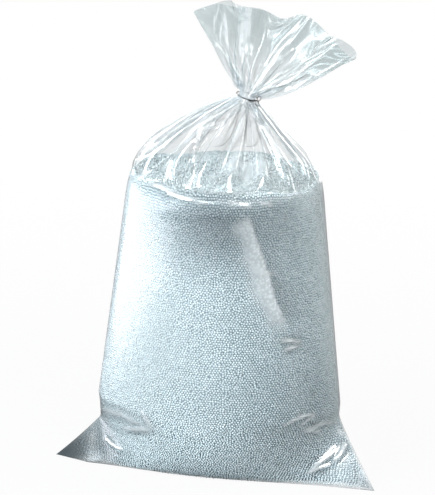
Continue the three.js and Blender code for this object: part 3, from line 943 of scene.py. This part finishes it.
def film_normal(nodes, links, pebbled, pebbles):
    """The film's bumps: beads that show through where it lies on them, and fine crinkles."""
    bump = nodes.new("ShaderNodeBump")
    bump.inputs["Distance"].default_value = PEBBLE_BUMP * MM
    bump.invert = True
    links.new(pebbled, bump.inputs["Strength"])
    links.new(pebbles.outputs["Distance"], bump.inputs["Height"])
    place = nodes.new("ShaderNodeTexCoord")
    crinkle = nodes.new("ShaderNodeTexNoise")
    crinkle.inputs["Scale"].default_value = CRINKLE_SCALE
    crinkle.inputs["Detail"].default_value = CRINKLE_DETAIL
    links.new(place.outputs["Object"], crinkle.inputs["Vector"])
    links.new(place.outputs["Object"], pebbles.inputs["Vector"])
    crease = nodes.new("ShaderNodeBump")
    crease.inputs["Distance"].default_value = CRINKLE_BUMP * MM
    crease.inputs["Strength"].default_value = 1
    links.new(crinkle.outputs["Fac"], crease.inputs["Height"])
    links.new(bump.outputs["Normal"], crease.inputs["Normal"])
    return crease.outputs["Normal"]


def film_gloss(nodes, links, pebbled, loose, normal):
    """The film's gloss, duller over the beads and in the fan, and how strongly it mirrors."""
    gloss = nodes.new("ShaderNodeBsdfGlossy")
    dull = nodes.new("ShaderNodeMapRange")
    dull.inputs["To Min"].default_value = FILM_ROUGHNESS
    dull.inputs["To Max"].default_value = PEBBLE_ROUGHNESS
    links.new(pebbled, dull.inputs["Value"])
    loose_dull = reckon(nodes, links, "MULTIPLY", loose, FAN_ROUGHNESS)
    dullest = reckon(nodes, links, "MAXIMUM", dull.outputs["Result"], loose_dull)
    links.new(dullest, gloss.inputs["Roughness"])
    links.new(normal, gloss.inputs["Normal"])
    facing = nodes.new("ShaderNodeLayerWeight")
    facing.inputs["Blend"].default_value = 0.5
    links.new(normal, facing.inputs["Normal"])
    steep = reckon(nodes, links, "POWER", facing.outputs["Facing"], SHINE_POWER)
    shine = nodes.new("ShaderNodeMapRange")
    shine.inputs["To Max"].default_value = 1
    layers = reckon(nodes, links, "MULTIPLY_ADD", attribute(nodes, "fold"), FOLD_SHINE, FILM_SHINE)
    links.new(layers, shine.inputs["To Min"])
    links.new(steep, shine.inputs["Value"])
    return gloss.outputs[0], shine.outputs["Result"]


def film_material():
    """Clear film: a tint, darker in the loose film as painted shade, a faint milky veil with painted
    highlights and reflections in dots over the beads, gloss, and painted shade where it is marked.
    """
    material, nodes, links = new_material("clear_polythene")
    out = nodes.new("ShaderNodeOutputMaterial")
    pebbled = attribute(nodes, "pebbled")
    loose = attribute(nodes, "loose")
    pebbles = nodes.new("ShaderNodeTexVoronoi")
    pebbles.inputs["Scale"].default_value = 1 / (BEAD_PITCH * MM)
    normal = film_normal(nodes, links, pebbled, pebbles)
    clear = nodes.new("ShaderNodeBsdfTransparent")
    # The tint darkens towards the fan as painted shade
    links.new(ramp_between(nodes, links, loose, FILM_TINT, LOOSE_PAINTED_SHADE_TINT), clear.inputs["Color"])
    # Pale matte for the film's faint haze and for the painted highlights and reflections
    haze_and_painted_highlight = matte(nodes, HAZE_AND_HIGHLIGHT_COLOUR)
    links.new(normal, haze_and_painted_highlight.inputs["Normal"])
    dots = nodes.new("ShaderNodeMapRange")
    dots.inputs["From Max"].default_value = BEAD_EDGE
    dots.inputs["To Min"].default_value = MORE_HAZE_ON_BEADS
    dots.inputs["To Max"].default_value = MORE_HAZE_BETWEEN
    links.new(pebbles.outputs["Distance"], dots.inputs["Value"])
    uneven = reckon(nodes, links, "MULTIPLY_ADD", dots.outputs["Result"], pebbled, 1)
    dotted = reckon(nodes, links, "MULTIPLY", attribute(nodes, "haze_and_painted_highlight"), uneven)
    body = mix_shaders(nodes, links, dotted, clear.outputs[0], haze_and_painted_highlight.outputs[0])
    gloss, shine = film_gloss(nodes, links, pebbled, loose, normal)
    film = mix_shaders(nodes, links, shine, body, gloss)
    # Painted shade: a dark matte mixed over the film where it is marked
    grey = matte(nodes, PAINTED_SHADE_COLOUR)
    greyed = mix_shaders(nodes, links, attribute(nodes, "painted_shade"), film, grey.outputs[0])
    links.new(greyed, out.inputs["Surface"])
    return material


def wire_material():
    """Dark coat with a fine grain."""
    material, nodes, links = new_material("dark_coated_wire")
    out = nodes.new("ShaderNodeOutputMaterial")
    shader = nodes.new("ShaderNodeBsdfPrincipled")
    shader.inputs["Specular IOR Level"].default_value = WIRE_SHINE
    shader.inputs["Roughness"].default_value = WIRE_ROUGHNESS
    grain = nodes.new("ShaderNodeTexNoise")
    grain.inputs["Scale"].default_value = WIRE_GRAIN
    tone = ramp_between(nodes, links, grain.outputs["Fac"], WIRE_DARK, WIRE_PALE)
    links.new(tone, shader.inputs["Base Color"])
    links.new(shader.outputs["BSDF"], out.inputs["Surface"])
    return material


# Studio
def camera():
    """Camera at the photograph's viewing angle, looking at the middle of the bag."""
    right = Vector((math.cos(CAMERA_TURN), math.sin(CAMERA_TURN), 0))
    back = Vector((
        math.sin(CAMERA_TURN) * math.cos(CAMERA_RISE),
        -math.cos(CAMERA_TURN) * math.cos(CAMERA_RISE),
        math.sin(CAMERA_RISE),
    ))
    up = back.cross(right)
    aim = Vector((0, 0, AIM_HEIGHT)) + AIM_RIGHT * right + AIM_UP * up
    data = bpy.data.cameras.new("camera")
    data.sensor_width = SENSOR
    data.lens = CAMERA_LENS
    obj = bpy.data.objects.new("camera", data)
    obj.location = aim + CAMERA_DISTANCE * back
    obj.rotation_euler = back.to_track_quat("Z", "Y").to_euler()
    bpy.context.scene.collection.objects.link(obj)
    bpy.context.scene.camera = obj


def softbox(name, place, size, power, colour, only_gloss):
    """A lamp that faces the bag. Where it is only for gloss, it is a card that the film mirrors."""
    data = bpy.data.lights.new(name, "AREA")
    data.color = colour
    data.shape = "RECTANGLE"
    data.size, data.size_y = size
    data.energy = power
    obj = bpy.data.objects.new(name, data)
    obj.location = place
    obj.rotation_euler = (Vector(place) - Vector(BAG_MIDDLE)).to_track_quat("Z", "Y").to_euler()
    obj.visible_camera = False
    obj.visible_diffuse = not only_gloss
    bpy.context.scene.collection.objects.link(obj)


def studio_world():
    """White behind the object, a dimmer room in front of it, and an even fill."""
    world = bpy.data.worlds.new("studio")
    bpy.context.scene.world = world
    world.use_nodes = True
    nodes, links = world.node_tree.nodes, world.node_tree.links
    nodes.clear()
    out = nodes.new("ShaderNodeOutputWorld")
    path = nodes.new("ShaderNodeLightPath")
    white = nodes.new("ShaderNodeBackground")
    white.inputs["Color"].default_value = (*WHITE, 1)
    fill = nodes.new("ShaderNodeBackground")
    fill.inputs["Color"].default_value = (*FILL_COLOUR, 1)
    fill.inputs["Strength"].default_value = FILL_STRENGTH
    room = nodes.new("ShaderNodeBackground")
    place = nodes.new("ShaderNodeTexCoord")
    height = nodes.new("ShaderNodeVectorMath")
    height.operation = "DOT_PRODUCT"
    height.inputs[1].default_value = (0, ROOM_BACK, 1)
    links.new(place.outputs["Generated"], height.inputs[0])
    depth = nodes.new("ShaderNodeMapRange")
    depth.inputs["From Max"].default_value = ROOM_REACH
    depth.inputs["To Min"].default_value = ROOM_DIM
    depth.inputs["To Max"].default_value = ROOM_BRIGHT
    links.new(height.outputs["Value"], depth.inputs["Value"])
    links.new(depth.outputs["Result"], room.inputs["Strength"])
    rays = (path.outputs["Is Camera Ray"], path.outputs["Is Transmission Ray"])
    seen = reckon(nodes, links, "MAXIMUM", *rays)
    glossy = path.outputs["Is Glossy Ray"]
    around = mix_shaders(nodes, links, glossy, fill.outputs[0], room.outputs[0])
    links.new(mix_shaders(nodes, links, seen, around, white.outputs[0]), out.inputs["Surface"])


def floor():
    """A pale floor that looks white away from the bag and keeps its shadow near it."""
    material, nodes, links = new_material("pale_floor")
    out = nodes.new("ShaderNodeOutputMaterial")
    path = nodes.new("ShaderNodeLightPath")
    pale = matte(nodes, FLOOR_COLOUR)
    glow = nodes.new("ShaderNodeEmission")
    place = nodes.new("ShaderNodeTexCoord")
    reach = nodes.new("ShaderNodeVectorMath")
    reach.operation = "LENGTH"
    links.new(place.outputs["Object"], reach.inputs[0])
    white = nodes.new("ShaderNodeMapRange")
    white.inputs["From Max"].default_value = FLOOR_FADE
    white.inputs["To Min"].default_value = FLOOR_GLOW
    links.new(reach.outputs["Value"], white.inputs["Value"])
    seen = path.outputs["Is Camera Ray"]
    share = reckon(nodes, links, "MULTIPLY", seen, white.outputs["Result"])
    both = mix_shaders(nodes, links, share, pale.outputs[0], glow.outputs[0])
    links.new(both, out.inputs["Surface"])
    far = FLOOR_SIZE / 2
    corners = [(-far, -far, 0), (far, -far, 0), (far, far, 0), (-far, far, 0)]
    plane = new_object("floor", corners, [(0, 1, 2, 3)], material, False)
    plane.visible_glossy = False
    plane.visible_shadow = False


camera()
studio_world()
floor()
for lamp, values in LAMPS.items():
    softbox(lamp, *values)

beads = bead_material("polystyrene_beads", BEAD_DARK, BEAD_PALE)
# Darker copy of the bead colours for the heap, as painted shade
heap_beads_painted_shade = bead_material("heaped_beads_painted_shade", HEAP_PAINTED_SHADE_DARK, HEAP_PAINTED_SHADE_PALE)
core_beads = bead_material("shaded_beads", CORE_DARK, CORE_PALE)
bead_fill(beads, heap_beads_painted_shade, core_beads)
film = film_bag(film_material())
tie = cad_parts["wire_tie"]
tie.data.materials.clear()
tie.data.materials.append(wire_material())

scene = bpy.context.scene
scene.view_settings.view_transform = "Standard"
scene.cycles.transparent_max_bounces = 64
